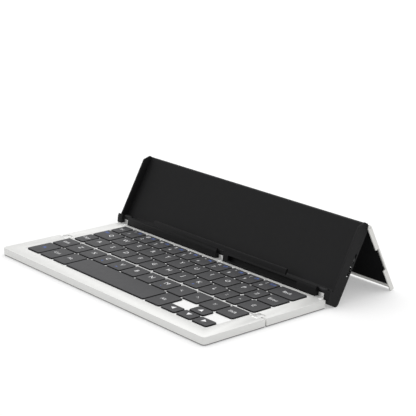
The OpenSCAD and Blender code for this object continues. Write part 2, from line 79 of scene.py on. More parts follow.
def group_tree(name: str, inputs: dict[str, float], outputs: Sequence[str]) -> bpy.types.NodeTree:
    """Make an empty shader group with named float inputs and outputs.

    Args:
        name: Name of the group.
        inputs: Default value of each input, by name.
        outputs: Names of the float outputs.

    Returns:
        The group's node tree, with one input and one output node.
    """
    tree = bpy.data.node_groups.new(name, "ShaderNodeTree")
    tree.interface.new_socket("Vector", in_out="INPUT", socket_type="NodeSocketVector")
    for key, value in inputs.items():
        sock = tree.interface.new_socket(key, in_out="INPUT", socket_type="NodeSocketFloat")
        sock.default_value = value
    for key in outputs:
        tree.interface.new_socket(key, in_out="OUTPUT", socket_type="NodeSocketFloat")
    tree.nodes.new("NodeGroupInput").name = "in"
    tree.nodes.new("NodeGroupOutput").name = "out"
    return tree


def math_node(tree: bpy.types.NodeTree, kind: str, a: object, b: object = None) -> object:
    """Add a Math node whose inputs are numbers or sockets.

    Args:
        tree: Tree that gets the node.
        kind: Operation of the Math node.
        a: First input, a number or an output socket.
        b: Second input, or None.

    Returns:
        The node's output socket.
    """
    node = tree.nodes.new("ShaderNodeMath")
    node.operation = kind
    for i, value in enumerate((a, b)):
        if value is None:
            continue
        if isinstance(value, (int, float)):
            node.inputs[i].default_value = value
        else:
            tree.links.new(value, node.inputs[i])
    return node.outputs[0]


@dataclass
class SharedGroups:
    """Shader groups that more than one finish uses, each built once."""

    trees: dict[str, bpy.types.NodeTree] = field(default_factory=dict)

    def grain(self) -> bpy.types.NodeTree:
        """Fine even grain: blasted metal, moulded plastic or rubber."""
        if "grain" in self.trees:
            return self.trees["grain"]
        tree = group_tree("fine_grain", {"Scale": 9000.0, "Pits": 0.4}, ("Height", "Mask"))
        start, end = tree.nodes["in"], tree.nodes["out"]
        noise = tree.nodes.new("ShaderNodeTexNoise")
        noise.inputs["Detail"].default_value = 3.0
        noise.inputs["Roughness"].default_value = 0.6
        cells = tree.nodes.new("ShaderNodeTexVoronoi")
        tree.links.new(start.outputs["Vector"], noise.inputs["Vector"])
        tree.links.new(start.outputs["Scale"], noise.inputs["Scale"])
        tree.links.new(start.outputs["Vector"], cells.inputs["Vector"])
        tree.links.new(start.outputs["Scale"], cells.inputs["Scale"])
        pits = math_node(tree, "MULTIPLY", cells.outputs["Distance"], start.outputs["Pits"])
        height = math_node(tree, "ADD", noise.outputs["Fac"], pits)
        tree.links.new(height, end.inputs["Height"])
        tree.links.new(noise.outputs["Fac"], end.inputs["Mask"])
        self.trees["grain"] = tree
        return tree

    def handling(self) -> bpy.types.NodeTree:
        """Slow patches that lift or lower tone and gloss, as light handling leaves them."""
        if "handling" in self.trees:
            return self.trees["handling"]
        tree = group_tree("handling", {"Scale": 35.0, "Spread": 0.5}, ("Tone", "Gloss"))
        start, end = tree.nodes["in"], tree.nodes["out"]
        slow = tree.nodes.new("ShaderNodeTexNoise")
        slow.inputs["Detail"].default_value = 2.0
        fine = tree.nodes.new("ShaderNodeTexNoise")
        fine.inputs["Detail"].default_value = 4.0
        tree.links.new(start.outputs["Vector"], slow.inputs["Vector"])
        tree.links.new(start.outputs["Scale"], slow.inputs["Scale"])
        tree.links.new(start.outputs["Vector"], fine.inputs["Vector"])
        tree.links.new(math_node(tree, "MULTIPLY", start.outputs["Scale"], 7.0),
                       fine.inputs["Scale"])
        slow_c = math_node(tree, "SUBTRACT", slow.outputs["Fac"], 0.5)
        fine_c = math_node(tree, "SUBTRACT", fine.outputs["Fac"], 0.5)
        mixed = math_node(tree, "ADD", slow_c, math_node(tree, "MULTIPLY", fine_c, 0.4))
        tree.links.new(math_node(tree, "MULTIPLY", mixed, start.outputs["Spread"]),
                       end.inputs["Tone"])
        tree.links.new(math_node(tree, "MULTIPLY", fine_c, start.outputs["Spread"]),
                       end.inputs["Gloss"])
        self.trees["handling"] = tree
        return tree


GROUPS = SharedGroups()


# Finishes

@dataclass(frozen=True)
class Finish:
    """One surface finish: colour, gloss, grain and the slow change of tone over it."""

    name: str
    colour: Colour
    roughness: float
    metallic: float = 0.0
    grain_scale: float = 6000.0
    grain_depth_mm: float = 0.004
    grain_strength: float = 0.25
    pits: float = 0.3
    tone_spread: float = 0.06
    gloss_spread: float = 0.12
    stretch: tuple[float, float, float] = (1.0, 1.0, 1.0)
    specular: float = 0.5

    def make(self) -> bpy.types.Material:
        """Build the material's nodes.

        Returns:
            The procedural material.
        """
        mat = bpy.data.materials.new(self.name)
        mat.use_nodes = True
        tree = mat.node_tree
        shader = tree.nodes["Principled BSDF"]
        shader.inputs["Metallic"].default_value = self.metallic
        shader.inputs["Specular IOR Level"].default_value = self.specular
        coords = tree.nodes.new("ShaderNodeTexCoord")
        place = tree.nodes.new("ShaderNodeMapping")
        place.inputs["Scale"].default_value = self.stretch
        tree.links.new(coords.outputs["Object"], place.inputs["Vector"])
        grain = tree.nodes.new("ShaderNodeGroup")
        grain.node_tree = GROUPS.grain()
        grain.inputs["Scale"].default_value = self.grain_scale
        grain.inputs["Pits"].default_value = self.pits
        hand = tree.nodes.new("ShaderNodeGroup")
        hand.node_tree = GROUPS.handling()
        hand.inputs["Spread"].default_value = 1.0
        tree.links.new(place.outputs["Vector"], grain.inputs["Vector"])
        tree.links.new(coords.outputs["Object"], hand.inputs["Vector"])
        tone = math_node(tree, "MULTIPLY_ADD", hand.outputs["Tone"], self.tone_spread)
        tone.node.inputs[2].default_value = 1.0
        speck = math_node(tree, "MULTIPLY_ADD", grain.outputs["Mask"], self.tone_spread)
        speck.node.inputs[2].default_value = 1.0 - self.tone_spread * 0.5
        value = math_node(tree, "MULTIPLY", tone, speck)
        tint = tree.nodes.new("ShaderNodeMix")
        tint.data_type = "RGBA"
        tint.blend_type = "MULTIPLY"
        tint.inputs["Factor"].default_value = 1.0
        tint.inputs[MIX_A].default_value = (*self.colour, 1.0)
        tree.links.new(value, tint.inputs[MIX_B])
        tree.links.new(tint.outputs[MIX_RESULT], shader.inputs["Base Color"])
        rough = math_node(tree, "MULTIPLY_ADD", hand.outputs["Gloss"], self.gloss_spread)
        rough.node.inputs[2].default_value = self.roughness
        tree.links.new(rough, shader.inputs["Roughness"])
        bump = tree.nodes.new("ShaderNodeBump")
        bump.inputs["Strength"].default_value = self.grain_strength
        bump.inputs["Distance"].default_value = self.grain_depth_mm * MM
        tree.links.new(grain.outputs["Height"], bump.inputs["Height"])
        tree.links.new(bump.outputs["Normal"], shader.inputs["Normal"])
        return mat


class Slot(Enum):
    """The record's material slots, with the finish that each one gets."""

    aluminium_frame = Finish("aluminium_frame", (0.80, 0.80, 0.785), 0.42, 0.40,
                             grain_scale=7000, grain_strength=0.22, tone_spread=0.03)
    bottom_black = Finish("bottom_black", (0.035, 0.035, 0.037), 0.62)
    key_web = Finish("key_web", (0.93, 0.93, 0.925), 0.34, 0.15, grain_strength=0.1,
                     tone_spread=0.02)
    circuit_board = Finish("circuit_board", (0.008, 0.028, 0.014), 0.45, grain_scale=900,
                           specular=0.3)
    foot_rubber = Finish("foot_rubber", (0.03, 0.03, 0.031), 0.85, grain_strength=0.6)
    hinge_metal = Finish("hinge_metal", (0.86, 0.86, 0.85), 0.32, 0.6, grain_strength=0.1,
                         tone_spread=0.03)
    hinge_black = Finish("hinge_black", (0.014, 0.014, 0.015), 0.42, 0.4, specular=0.3)
    pin_steel = Finish("pin_steel", (0.52, 0.52, 0.52), 0.3, 1.0, stretch=(0.05, 1.0, 1.0))
    screw_steel = Finish("screw_steel", (0.11, 0.11, 0.115), 0.35, 0.9)
    tray_black = Finish("tray_black", (0.009, 0.009, 0.0095), 0.55, grain_scale=3800,
                        grain_depth_mm=0.012, grain_strength=0.5, pits=0.8, specular=0.16)
    battery_foil = Finish("battery_foil", (0.5, 0.5, 0.52), 0.3, 0.9)
    socket_steel = Finish("socket_steel", (0.75, 0.75, 0.76), 0.22, 1.0, tone_spread=0.03)
    switch_black = Finish("switch_black", (0.02, 0.02, 0.021), 0.45)
    aluminium_stand = Finish("aluminium_stand", (0.74, 0.735, 0.71), 0.40, 0.6,
                             grain_scale=7000, grain_strength=0.22, tone_spread=0.03)
    lining_black = Finish("lining_black", (0.007, 0.007, 0.0075), 0.9, grain_scale=2200,
                          grain_depth_mm=0.03, grain_strength=0.7, pits=1.0, specular=0.1)
    keycap = Finish("keycap", (0.045, 0.045, 0.048), 0.5, grain_scale=4200,
                    grain_depth_mm=0.006, grain_strength=0.35, pits=0.6, specular=0.35)


class Ink(Enum):
    """Printing on the keys."""

    white = Finish("legend_white", (0.86, 0.86, 0.87), 0.5, grain_strength=0.1)
    blue = Finish("legend_blue", (0.06, 0.16, 0.62), 0.5, grain_strength=0.1)


class TrimAndPaintedShade(Enum):
    """Finishes of small areas inside a piece, beside the slot's own finish, and the painted shade
    on the keycaps' sides.
    """

    # Painted shade: a near-black copy of the keycap finish, put on the caps' sides so that they
    # read darker than the tops
    cap_side = Finish("cap_side", (0.010, 0.010, 0.011), 0.5, grain_scale=4200,
                      grain_depth_mm=0.006, grain_strength=0.3, specular=0.2)
    contact_gold = Finish("contact_gold", (0.78, 0.58, 0.26), 0.28, 1.0, tone_spread=0.03)


MATERIALS: dict[str, bpy.types.Material] = {}


def material(choice: Slot | Ink | TrimAndPaintedShade) -> bpy.types.Material:
    """Give the material of a slot, an ink, a trim or a painted shade, built when it is first asked
    for.
    """
    finish: Finish = choice.value
    if finish.name not in MATERIALS:
        MATERIALS[finish.name] = finish.make()
    return MATERIALS[finish.name]


# Frame helpers

RECORD = frame["record"]
BODY_OF: dict[str, str] = {node: body for body, nodes in RECORD["behaviour"]["bodies"].items()
                           for node in nodes}
SLOT_OF: dict[str, str] = {s["node"]: s["material_slot"] for s in RECORD["subparts"]}


def slot_of(node: str) -> Slot:
    """Give the material slot that the record names for a node."""
    return Slot[SLOT_OF[node]]


def smooth(mesh: bpy.types.Mesh, angle_deg: float = 32.0) -> None:
    """Shade a mesh smooth, with sharp edges past an angle."""
    mesh.polygons.foreach_set("use_smooth", [True] * len(mesh.polygons))
    mesh.set_sharp_from_angle(angle=math.radians(angle_deg))


def add_object(name: str, mesh: bpy.types.Mesh) -> bpy.types.Object:
    """Put a mesh into the scene as an object at the origin."""
    obj = bpy.data.objects.new(name, mesh)
    bpy.context.scene.collection.objects.link(obj)
    return obj


def dress_piece(obj: bpy.types.Object, body: str, nodes: Sequence[str]) -> None:
    """Tie a new piece to its body and the nodes that it stands for.

    Args:
        obj: The finished piece.
        body: Body that it rides on.
        nodes: CAD nodes that it replaces, or none.
    """
    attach(obj, body)
    if nodes:
        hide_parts(*nodes)
    log.info("%s rides on %s, %d faces", obj.name, body, len(obj.data.polygons))


def merged_copy(node: str) -> bmesh.types.BMesh:
    """Copy a CAD node's loose triangles and join them into one closed surface."""
    work = bmesh.new()
    work.from_mesh(frame["nodes"][node].data)
    bmesh.ops.remove_doubles(work, verts=work.verts, dist=WELD_M)
    bmesh.ops.dissolve_limit(work, angle_limit=math.radians(FLAT_DEG), verts=work.verts,
                             edges=work.edges, delimit={"NORMAL"})
    return work


def bevel_edges(work: bmesh.types.BMesh, width_mm: float, segments: int,
                pick: Callable[[bmesh.types.BMEdge], bool]) -> None:
    """Round the picked edges of a work mesh.

    Args:
        work: Mesh that is changed.
        width_mm: Width of the rounding.
        segments: Faces across the rounding.
        pick: Says whether an edge is rounded.
    """
    edges = [e for e in work.edges if len(e.link_faces) == 2
             and e.calc_face_angle(0.0) > math.radians(SHARP_DEG) and pick(e)]
    bmesh.ops.bevel(work, geom=edges, offset=width_mm * MM, offset_type="OFFSET",
                    segments=segments, profile=0.5, affect="EDGES", clamp_overlap=True)


def islands(node: str) -> list[tuple[Vector, Vector]]:
    """Find the box of each separate solid in a CAD node, from left to right.

    Args:
        node: Name of the node.

    Returns:
        Lowest and highest corner of each solid.
    """
    work = bmesh.new()
    work.from_mesh(frame["nodes"][node].data)
    bmesh.ops.remove_doubles(work, verts=work.verts, dist=WELD_M)
    seen: set[int] = set()
    found: list[tuple[Vector, Vector]] = []
    work.verts.ensure_lookup_table()
    for vert in work.verts:
        if vert.index in seen:
            continue
        stack, pts = [vert], []
        seen.add(vert.index)
        while stack:
            here = stack.pop()
            pts.append(here.co.copy())
            for edge in here.link_edges:
                other = edge.other_vert(here)
                if other.index not in seen:
                    seen.add(other.index)
                    stack.append(other)
        low = Vector(tuple(min(p[i] for p in pts) for i in range(3)))
        high = Vector(tuple(max(p[i] for p in pts) for i in range(3)))
        found.append((low, high))
    work.free()
    return sorted(found, key=lambda b: (round(b[0].x, 4), round(b[0].y, 4)))


# Geometry nodes

class FormTree:
    """Small helper that writes a Geometry Nodes tree with named inputs."""

    def __init__(self, name: str) -> None:
        """Start an empty tree with a geometry input and output."""
        self.tree = bpy.data.node_groups.new(name, "GeometryNodeTree")
        self.tree.interface.new_socket("Geometry", in_out="INPUT",
                                       socket_type="NodeSocketGeometry")
        self.tree.interface.new_socket("Geometry", in_out="OUTPUT",
                                       socket_type="NodeSocketGeometry")
        self.start = self.tree.nodes.new("NodeGroupInput")
        self.end = self.tree.nodes.new("NodeGroupOutput")

    def size(self, name: str, value: float) -> None:
        """Declare a named size of the form."""
        sock = self.tree.interface.new_socket(name, in_out="INPUT",
                                              socket_type="NodeSocketFloat")
        sock.default_value = value

    def declare_material(self) -> None:
        self.tree.interface.new_socket("Material", in_out="INPUT",
                                       socket_type="NodeSocketMaterial")

    def get(self, name: str) -> object:
        """Give the socket of a named input."""
        return self.start.outputs[name]

    def node(self, kind: str, inputs: dict[object, object] | None = None,
             **props: object) -> bpy.types.Node:
        """Add a node, set its properties and join its inputs.

        Args:
            kind: Blender's name of the node type.
            inputs: Values or sockets by input name or place.
            **props: Properties of the node.

        Returns:
            The new node.
        """
        made = self.tree.nodes.new(kind)
        for key, value in props.items():
            setattr(made, key, value)
        for key, value in (inputs or {}).items():
            if isinstance(value, bpy.types.NodeSocket):
                self.tree.links.new(value, made.inputs[key])
            else:
                made.inputs[key].default_value = value
        return made

    def calc(self, kind: str, a: object, b: object = 0.0) -> object:
        """Add a Math node on two inputs and give its result."""
        return self.node("ShaderNodeMath", {0: a, 1: b}, operation=kind).outputs[0]

    def choose(self, test: object, no: object, yes: object) -> object:
        """Give yes where test is 1, and no where it is 0."""
        return self.node("GeometryNodeSwitch", {0: test, 1: no, 2: yes},
                         input_type="FLOAT").outputs[0]

    def close(self, geometry: object) -> None:
        """End the tree in Realize Instances and Set Material."""
        real = self.node("GeometryNodeRealizeInstances", {0: geometry})
        paint = self.node("GeometryNodeSetMaterial",
                          {"Geometry": real.outputs[0], "Material": self.get("Material")})
        self.tree.links.new(paint.outputs[0], self.end.inputs[0])

    def bake(self, values: dict[str, float], finish: bpy.types.Material,
             spots: Sequence[Vector] = ()) -> bpy.types.Mesh:
        """Run the tree with the given sizes and take the result as a plain mesh.

        Args:
            values: Size by input name, in metres.
            finish: Material of the form.
            spots: Points that the tree sets its form on, if it sets any.

        Returns:
            The evaluated mesh.
        """
        points = bpy.data.meshes.new("form_seed")
        points.from_pydata([tuple(spot) for spot in spots], [], [])
        seed = bpy.data.objects.new("form_seed", points)
        bpy.context.scene.collection.objects.link(seed)
        mod = seed.modifiers.new("form", "NODES")
        mod.node_group = self.tree
        for item in self.tree.interface.items_tree:
            if item.item_type != "SOCKET" or item.in_out != "INPUT":
                continue
            if item.name in values:
                mod[item.identifier] = float(values[item.name])
            elif item.name == "Material":
                mod[item.identifier] = finish
        graph = bpy.context.evaluated_depsgraph_get()
        mesh = bpy.data.meshes.new_from_object(seed.evaluated_get(graph), depsgraph=graph)
        seed.modifiers.remove(mod)
        bpy.data.objects.remove(seed, do_unlink=True)
        return mesh


def keycap_tree() -> FormTree:
    """Write the keycap's form: a rounded outline swept by its side profile, then closed.

    Returns:
        The tree, with the sizes of one keycap as its inputs.
    """
    form = FormTree("keycap_form")
    for name, value in (("Width", 16.4), ("Depth", 17.0), ("Corner", 1.6), ("Height", 3.2),
                        ("Skirt Reach", 0.6), ("Skirt Height", 0.8), ("Edge Inset", 0.7),
                        ("Edge Drop", 0.55)):
        form.size(name, value * MM)
    form.declare_material()

    def outline(grow: object) -> object:
        """Draw the cap's rounded outline, grown outwards by a distance."""
        wide = form.calc("ADD", form.get("Width"), form.calc("MULTIPLY", grow, 2.0))
        deep = form.calc("ADD", form.get("Depth"), form.calc("MULTIPLY", grow, 2.0))
        box = form.node("GeometryNodeCurvePrimitiveQuadrilateral", {0: wide, 1: deep})
        turn = form.calc("ADD", form.get("Corner"), grow)
        return form.node("GeometryNodeFilletCurve",
                         {"Curve": box.outputs[0], "Count": 6, "Radius": turn},
                         mode="POLY").outputs[0]

    index = form.node("GeometryNodeInputIndex").outputs[0]
    points = 10
    arc_start = 3
    line = form.node("GeometryNodeCurvePrimitiveLine", {"End": (0.0, 1.0, 0.0)})
    many = form.node("GeometryNodeResampleCurve", {"Curve": line.outputs[0], "Count": points})
    turn = form.calc("DIVIDE", form.calc("SUBTRACT", index, float(arc_start)),
                     float(points - 1 - arc_start))
    turn = form.calc("MAXIMUM", turn, 0.0)
    angle = form.calc("MULTIPLY", turn, math.pi / 2)
    inset = form.calc("MULTIPLY", form.get("Edge Inset"),
                      form.calc("SUBTRACT", 1.0, form.calc("COSINE", angle)))
    rise = form.calc("MULTIPLY", form.get("Edge Drop"), form.calc("SINE", angle))
    base = form.calc("SUBTRACT", form.get("Height"), form.get("Edge Drop"))
    arc_z = form.calc("ADD", base, rise)
    on_skirt = form.calc("LESS_THAN", index, 2.0)
    below = form.calc("LESS_THAN", index, float(arc_start))
    foot = form.calc("LESS_THAN", index, 1.0)
    skirt = form.calc("MULTIPLY", form.get("Skirt Reach"), -1.0)
    off = form.choose(on_skirt, inset, skirt)
    high = form.choose(foot, form.choose(below, arc_z, form.get("Skirt Height")), 0.0)
    # Swept round the outline, the profile's X points outwards and its Y points down.
    outward = form.calc("MULTIPLY", off, -1.0)
    downward = form.calc("MULTIPLY", high, -1.0)
    spot = form.node("ShaderNodeCombineXYZ", {"X": outward, "Y": downward})
    profile = form.node("GeometryNodeSetPosition",
                        {"Geometry": many.outputs[0], "Position": spot.outputs[0]})
    wall = form.node("GeometryNodeCurveToMesh",
                     {"Curve": outline(0.0),
                      "Profile Curve": profile.outputs[0]})

    def lid(grow: object, height: object) -> object:
        """Fill the grown outline and lift it to a height."""
        fill = form.node("GeometryNodeFillCurve", {"Curve": outline(grow)}, mode="NGONS")
        lift = form.node("ShaderNodeCombineXYZ", {"Z": height})
        return form.node("GeometryNodeSetPosition",
                         {"Geometry": fill.outputs[0], "Offset": lift.outputs[0]}).outputs[0]

    top = lid(form.calc("MULTIPLY", form.get("Edge Inset"), -1.0), form.get("Height"))
    floor = lid(form.get("Skirt Reach"), 0.0)
    joined = form.node("GeometryNodeJoinGeometry")
    for part in (wall.outputs[0], top, floor):
        form.tree.links.new(part, joined.inputs[0])
    welded = form.node("GeometryNodeMergeByDistance",
                       {"Geometry": joined.outputs[0], "Distance": 0.06 * MM})
    form.close(welded.outputs[0])
    return form


def screw_tree() -> FormTree:
    """Write the screw's form: a tapered head with a six-sided recess, set on each point.

    Returns:
        The tree, with the screw's sizes and its turn about X as inputs.
    """
    form = FormTree("screw_form")
    for name, value in (("Radius", 1.1), ("Height", 0.5), ("Edge", 0.12),
                        ("Recess Radius", 0.5), ("Recess Depth", 0.3)):
        form.size(name, value * MM)
    form.size("Turn", 0.0)
    form.declare_material()
    narrow = form.calc("SUBTRACT", form.get("Radius"), form.get("Edge"))
    head = form.node("GeometryNodeMeshCone",
                     {"Vertices": 40, "Radius Top": narrow, "Radius Bottom": form.get("Radius"),
                      "Depth": form.get("Height")})
    tool = form.node("GeometryNodeMeshCylinder",
                     {"Vertices": 6, "Radius": form.get("Recess Radius"),
                      "Depth": form.calc("MULTIPLY", form.get("Recess Depth"), 2.0)})
    lift = form.node("ShaderNodeCombineXYZ", {"Z": form.get("Height")})
    raised = form.node("GeometryNodeSetPosition",
                       {"Geometry": tool.outputs[0], "Offset": lift.outputs[0]})
    cut = form.node("GeometryNodeMeshBoolean", {0: head.outputs[0], 1: raised.outputs[0]},
                    operation="DIFFERENCE")
    turn = form.node("ShaderNodeCombineXYZ", {"X": form.get("Turn")})
    rows = form.node("GeometryNodeInstanceOnPoints",
                     {"Points": form.start.outputs[0], "Instance": cut.outputs[0],
                      "Rotation": turn.outputs[0]})
    form.close(rows.outputs[0])
    return form


def bar_row_tree() -> FormTree:
    """Write a row of equal bars that steps along Y, with its middle at the origin.

    Returns:
        The tree, with the number of bars, their pitch and their size as inputs.
    """
    form = FormTree("bar_row_form")
    form.size("Count", 3.0)
    for name, value in (("Pitch", 0.6), ("Long", 0.2), ("Wide", 0.3), ("High", 1.3)):
        form.size(name, value * MM)
    form.declare_material()
    reach = form.calc("MULTIPLY", form.calc("SUBTRACT", form.get("Count"), 1.0),
                      form.get("Pitch"))
    first = form.node("ShaderNodeCombineXYZ", {"Y": form.calc("MULTIPLY", reach, -0.5)})
    step = form.node("ShaderNodeCombineXYZ", {"Y": form.get("Pitch")})
    line = form.node("GeometryNodeMeshLine",
                     {"Count": form.get("Count"), "Start Location": first.outputs[0],
                      "Offset": step.outputs[0]})
    size = form.node("ShaderNodeCombineXYZ", {"X": form.get("Long"), "Y": form.get("Wide"),
                                              "Z": form.get("High")})
    bar = form.node("GeometryNodeMeshCube", {"Size": size.outputs[0]})
    rows = form.node("GeometryNodeInstanceOnPoints",
                     {"Points": line.outputs[0], "Instance": bar.outputs[0]})
    form.close(rows.outputs[0])
    return form


# Keys

@dataclass(frozen=True)
class Mark:
    """One legend on a keycap: its text, ink, size and place on the top."""

    text: str
    ink: Ink = Ink.white
    size_mm: float = 5.0
    across: float = 0.5
    up: float = 0.5


@dataclass
class Keys:
    """All keycaps and their legends, each group on its own body."""

    corner_mm: float = 1.6
    skirt_reach_mm: float = 0.6
    skirt_height_mm: float = 0.8
    edge_inset_mm: float = 0.62
    edge_drop_mm: float = 0.5
    plunger_mm: float = 0.4
    # Faces whose normal's Z falls below this get the painted shade of the keycaps' sides
    top_lean: float = 0.6
    print_lift_mm: float = 0.012
    smooth_deg: float = 40.0
    curve_steps: int = 2
    letter_mm: float = 6.0
    letter_up: float = 0.56
    digit_mm: float = 4.6
    word_mm: float = 4.4
    sign_mm: float = 4.2
    tab_mm: float = 4.0
    small_mm: float = 3.8
    arrow_mm: float = 5.0
    mark_left: float = 0.36
    mark_right: float = 0.72
    mark_low: float = 0.32
    mark_high: float = 0.72

    def cap_mesh(self, form: FormTree, low: Vector, high: Vector) -> bpy.types.Mesh:
        """Form one keycap over the box of its CAD solid.

        Args:
            form: The keycap's tree.
            low: Lowest corner of the solid.
            high: Highest corner of the solid.

        Returns:
            A closed mesh in place.
        """
        reach = self.skirt_reach_mm * MM
        base = low.z + self.plunger_mm * MM
        mesh = form.bake({"Width": high.x - low.x - 2 * reach, "Depth": high.y - low.y - 2 * reach,
                          "Corner": self.corner_mm * MM, "Height": high.z - base,
                          "Skirt Reach": reach, "Skirt Height": self.skirt_height_mm * MM,
                          "Edge Inset": self.edge_inset_mm * MM,
                          "Edge Drop": self.edge_drop_mm * MM}, material(Slot.keycap))
        mesh.transform(Matrix.Translation(((low.x + high.x) / 2, (low.y + high.y) / 2, base)))
        return mesh

    def node_caps(self, form: FormTree, node: str) -> list[tuple[Vector, Vector]]:
        """Replace one node's keycaps by formed ones.

        Args:
            form: The keycap's tree.
            node: The key node.

        Returns:
            The boxes of its caps, from left to right.
        """
        boxes = islands(node)
        work = bmesh.new()
        for low, high in boxes:
            work.from_mesh(self.cap_mesh(form, low, high))
        bmesh.ops.recalc_face_normals(work, faces=work.faces)
        mesh = bpy.data.meshes.new("cap_" + node)
        work.to_mesh(mesh)
        work.free()
        # The second material is painted shade: faces that lean away from the top get the
        # near-black side finish instead of the keycap colour
        mesh.materials.append(material(Slot.keycap))
        mesh.materials.append(material(TrimAndPaintedShade.cap_side))
        for face in mesh.polygons:
            face.material_index = int(face.normal.z < self.top_lean)
        smooth(mesh, self.smooth_deg)
        obj = add_object("cap_" + node, mesh)
        dress_piece(obj, BODY_OF[node], [node])
        return boxes

    def print_marks(self, node: str, rows: Iterable[tuple[tuple[Vector, Vector], list[Mark]]]
                    ) -> None:
        """Print legends on a node's caps as thin meshes just above them.

        Args:
            node: The key node.
            rows: Box of each cap with its marks.
        """
        work = bmesh.new()
        inks = list(Ink)
        for (low, high), marks in rows:
            for mark in marks:
                text = bpy.data.curves.new("legend_text", "FONT")
                text.body = mark.text
                text.size = mark.size_mm * MM
                text.align_x, text.align_y = "CENTER", "CENTER"
                text.resolution_u = self.curve_steps
                temp = bpy.data.objects.new("legend_text", text)
                bpy.context.scene.collection.objects.link(temp)
                graph = bpy.context.evaluated_depsgraph_get()
                mesh = bpy.data.meshes.new_from_object(temp.evaluated_get(graph),
                                                       depsgraph=graph)
                x = low.x + (high.x - low.x) * mark.across
                y = low.y + (high.y - low.y) * mark.up
                mesh.transform(Matrix.Translation((x, y, high.z + self.print_lift_mm * MM)))
                before = len(work.faces)
                work.from_mesh(mesh)
                work.faces.ensure_lookup_table()
                for face in work.faces[before:]:
                    face.material_index = inks.index(mark.ink)
                bpy.data.objects.remove(temp, do_unlink=True)
                bpy.data.meshes.remove(mesh)
        if not work.faces:
            work.free()
            return
        flat = bpy.data.meshes.new("legend_" + node)
        work.to_mesh(flat)
        work.free()
        for ink in inks:
            flat.materials.append(material(ink))
        obj = add_object("legend_" + node, flat)
        dress_piece(obj, BODY_OF[node], [])

    def letters(self, form: FormTree) -> None:
        """Form the letter keys and print their legends.

        Args:
            form: The keycap's tree.
        """
        second = {"c": "<", "v": ">", "k": "+", "m": "-"}
        for letter in "qwertyuiopasdfghjklzxcvbnm":
            node = "key_" + letter
            boxes = self.node_caps(form, node)
            marks = [Mark(letter.upper(), size_mm=self.letter_mm, up=self.letter_up)]
            if letter == "q":
                marks = [Mark("Q", size_mm=self.letter_mm, across=0.62),
                         Mark("Tab", Ink.blue, self.tab_mm, 0.22, 0.66)]
            elif letter in second:
                marks.append(Mark(second[letter], Ink.blue, self.word_mm, up=0.24))
            self.print_marks(node, [(boxes[0], marks)])

    def number_row(self, form: FormTree) -> None:
        """Form the number row and print its digits, signs and function names.

        Args:
            form: The keycap's tree.
        """
        boxes = self.node_caps(form, "number_row_keys")
        rows = [(boxes[0], [Mark("Esc", size_mm=self.small_mm)])]
        for i, sign in enumerate("!@#$%^&*()"):
            digit = str((i + 1) % 10)
            rows.append((boxes[1 + i], [
                Mark(digit, size_mm=self.digit_mm, across=self.mark_left, up=self.mark_low),
                Mark(sign, size_mm=self.sign_mm, across=self.mark_left, up=self.mark_high),
                Mark("F%d" % (i + 1), Ink.blue, self.small_mm, self.mark_right,
                     self.mark_high)]))
        rows.append((boxes[-1], [Mark("Back", size_mm=self.digit_mm)]))
        self.print_marks("number_row_keys", rows)

    def side_keys(self, form: FormTree) -> None:
        """Form the keys beside the letters on both panels and print their names.

        Args:
            form: The keycap's tree.
        """
        boxes = sorted(self.node_caps(form, "middle_side_keys"),
                       key=lambda b: (b[0].x > 0, b[0].y, b[0].x))
        names = ["Caps", ":;", "\"'", "{[", "}]", "Enter"]
        self.print_marks("middle_side_keys", [(box, [Mark(name, size_mm=self.word_mm)])
                                              for box, name in zip(boxes, names)])
        boxes = sorted(self.node_caps(form, "front_side_keys"),
                       key=lambda b: (b[0].y, b[0].x))
        names = ["Fn", "Ctrl", "Alt", "Alt", "Shift", "<,", ">.", "?/", "Shift"]
        self.print_marks("front_side_keys", [
            (box, [Mark(name, Ink.blue if name == "Fn" else Ink.white, self.word_mm)])
            for box, name in zip(boxes, names)])

    def arrows(self, form: FormTree) -> None:
        """Form the arrow keys and print their arrows.

        Args:
            form: The keycap's tree.
        """
        boxes = sorted(self.node_caps(form, "arrow_keys"),
                       key=lambda b: (round(b[0].x, 4), b[0].y))
        self.print_marks("arrow_keys", [(box, [Mark(sign, size_mm=self.arrow_mm)])
                                        for box, sign in zip(boxes, "◀▼▲▶")])

    def build(self) -> None:
        """Form every keycap and print every legend."""
        form = keycap_tree()
        self.letters(form)
        self.node_caps(form, "key_space")
        self.number_row(form)
        self.side_keys(form)
        self.arrows(form)


# Hard pieces

@dataclass
class SoftenedPiece:
    """A CAD piece whose edges get the small rounding of the real one."""

    node: str
    width_mm: float
    segments: int = 2
    pick: Callable[[bmesh.types.BMEdge], bool] = lambda edge: True
    smooth_deg: float = 28.0

    def build(self) -> bpy.types.Object:
        """Copy the node, round its edges and let the copy stand for it.

        Returns:
            The new piece.
        """
        work = merged_copy(self.node)
        bevel_edges(work, self.width_mm, self.segments, self.pick)
        mesh = bpy.data.meshes.new(self.node + "_skin")
        work.to_mesh(mesh)
        work.free()
        slot = slot_of(self.node)
        mesh.materials.append(material(slot))
        smooth(mesh, self.smooth_deg)
        obj = add_object(self.node + "_skin", mesh)
        dress_piece(obj, BODY_OF[self.node], [self.node])
        return obj


def long_edge(limit_mm: float) -> Callable[[bmesh.types.BMEdge], bool]:
    """Pick edges longer than a limit."""
    return lambda edge: edge.calc_length() > limit_mm * MM


